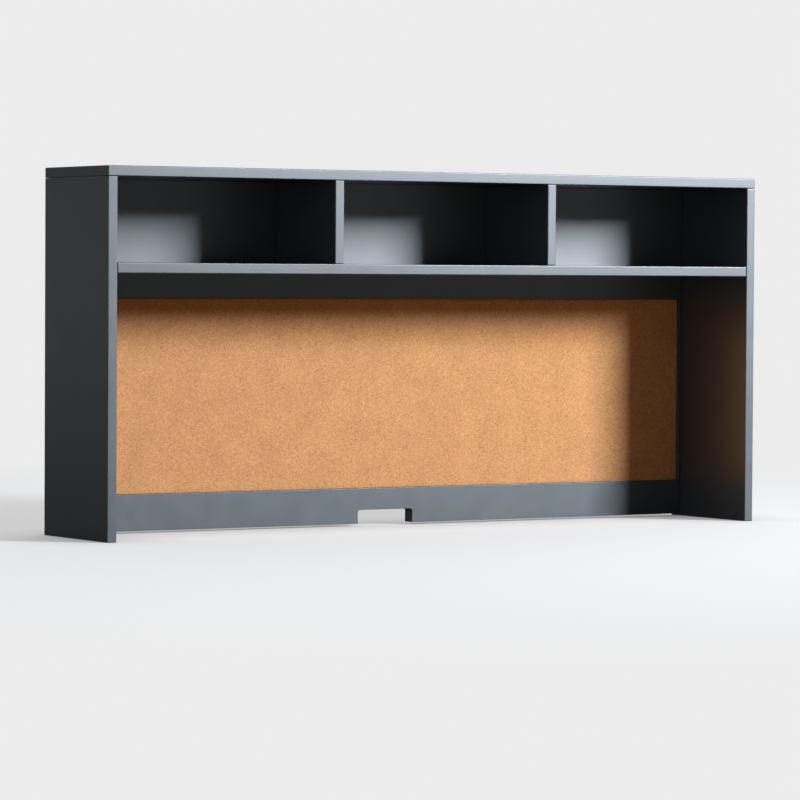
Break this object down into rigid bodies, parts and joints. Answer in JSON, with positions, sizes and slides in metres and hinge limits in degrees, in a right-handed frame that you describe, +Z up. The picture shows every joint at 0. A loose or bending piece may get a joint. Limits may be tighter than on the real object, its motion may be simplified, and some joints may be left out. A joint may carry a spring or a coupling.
{
  "type": "desk hutch",
  "caption": "Low desk hutch: a row of open cubbies over a cork pinboard, with side panels that stand on a desktop and a cable notch at the bottom of the back.",
  "frame": {"origin": "on the desktop, in the middle of the hutch's width and depth", "axes": "+X along the width to the right of a person at the desk, +Y to the rear, away from that person, +Z up"},
  "size_m": [1.219, 0.209, 0.5715],
  "materials": {
    "slate_paint": "satin slate blue-grey lacquer on medium-density fibreboard, edges sanded round",
    "cork": "matte pressed fine cork granules",
    "fibreboard": "matte raw fibreboard",
    "painted_hardboard": "low-sheen slate paint on hardboard",
    "beech": "raw turned beech",
    "zinc_plate": "bright zinc plate",
    "brass": "plain turned brass"
  },
  "bodies": {
    "root": {"top_panel": "slate_paint", "left_side_panel": "slate_paint", "right_side_panel": "slate_paint", "shelf_panel": "slate_paint", "left_divider": "slate_paint", "right_divider": "slate_paint", "upper_back_panel": "slate_paint", "lower_back_rail": "slate_paint", "left_back_stile": "slate_paint", "right_back_stile": "slate_paint", "pinboard_core": "fibreboard", "cork_sheet": "cork", "backer_board": "painted_hardboard", "left_top_dowel_1": "beech", "left_top_dowel_2": "beech", "left_shelf_dowel_1": "beech", "left_shelf_dowel_2": "beech", "left_upper_back_dowel_1": "beech", "left_upper_back_dowel_2": "beech", "left_lower_rail_dowel_1": "beech", "left_lower_rail_dowel_2": "beech", "left_divider_foot_dowel_1": "beech", "left_divider_foot_dowel_2": "beech", "left_divider_head_dowel_1": "beech", "left_divider_head_dowel_2": "beech", "right_top_dowel_1": "beech", "right_top_dowel_2": "beech", "right_shelf_dowel_1": "beech", "right_shelf_dowel_2": "beech", "right_upper_back_dowel_1": "beech", "right_upper_back_dowel_2": "beech", "right_lower_rail_dowel_1": "beech", "right_lower_rail_dowel_2": "beech", "right_divider_foot_dowel_1": "beech", "right_divider_foot_dowel_2": "beech", "right_divider_head_dowel_1": "beech", "right_divider_head_dowel_2": "beech", "shelf_screw_1": "zinc_plate", "shelf_screw_2": "zinc_plate", "shelf_screw_3": "zinc_plate", "left_divider_screw_1": "zinc_plate", "right_divider_screw_1": "zinc_plate", "backer_top_screw_1": "zinc_plate", "backer_top_screw_2": "zinc_plate", "backer_top_screw_3": "zinc_plate", "backer_top_screw_4": "zinc_plate", "backer_middle_screw_1": "zinc_plate", "backer_middle_screw_2": "zinc_plate", "backer_middle_screw_3": "zinc_plate", "backer_middle_screw_4": "zinc_plate", "backer_bottom_screw_1": "zinc_plate", "backer_bottom_screw_2": "zinc_plate", "backer_bottom_screw_3": "zinc_plate", "backer_bottom_screw_4": "zinc_plate", "left_foot_insert_1": "brass", "left_foot_insert_2": "brass", "right_foot_insert_1": "brass", "right_foot_insert_2": "brass"}
  },
  "joints": []
}
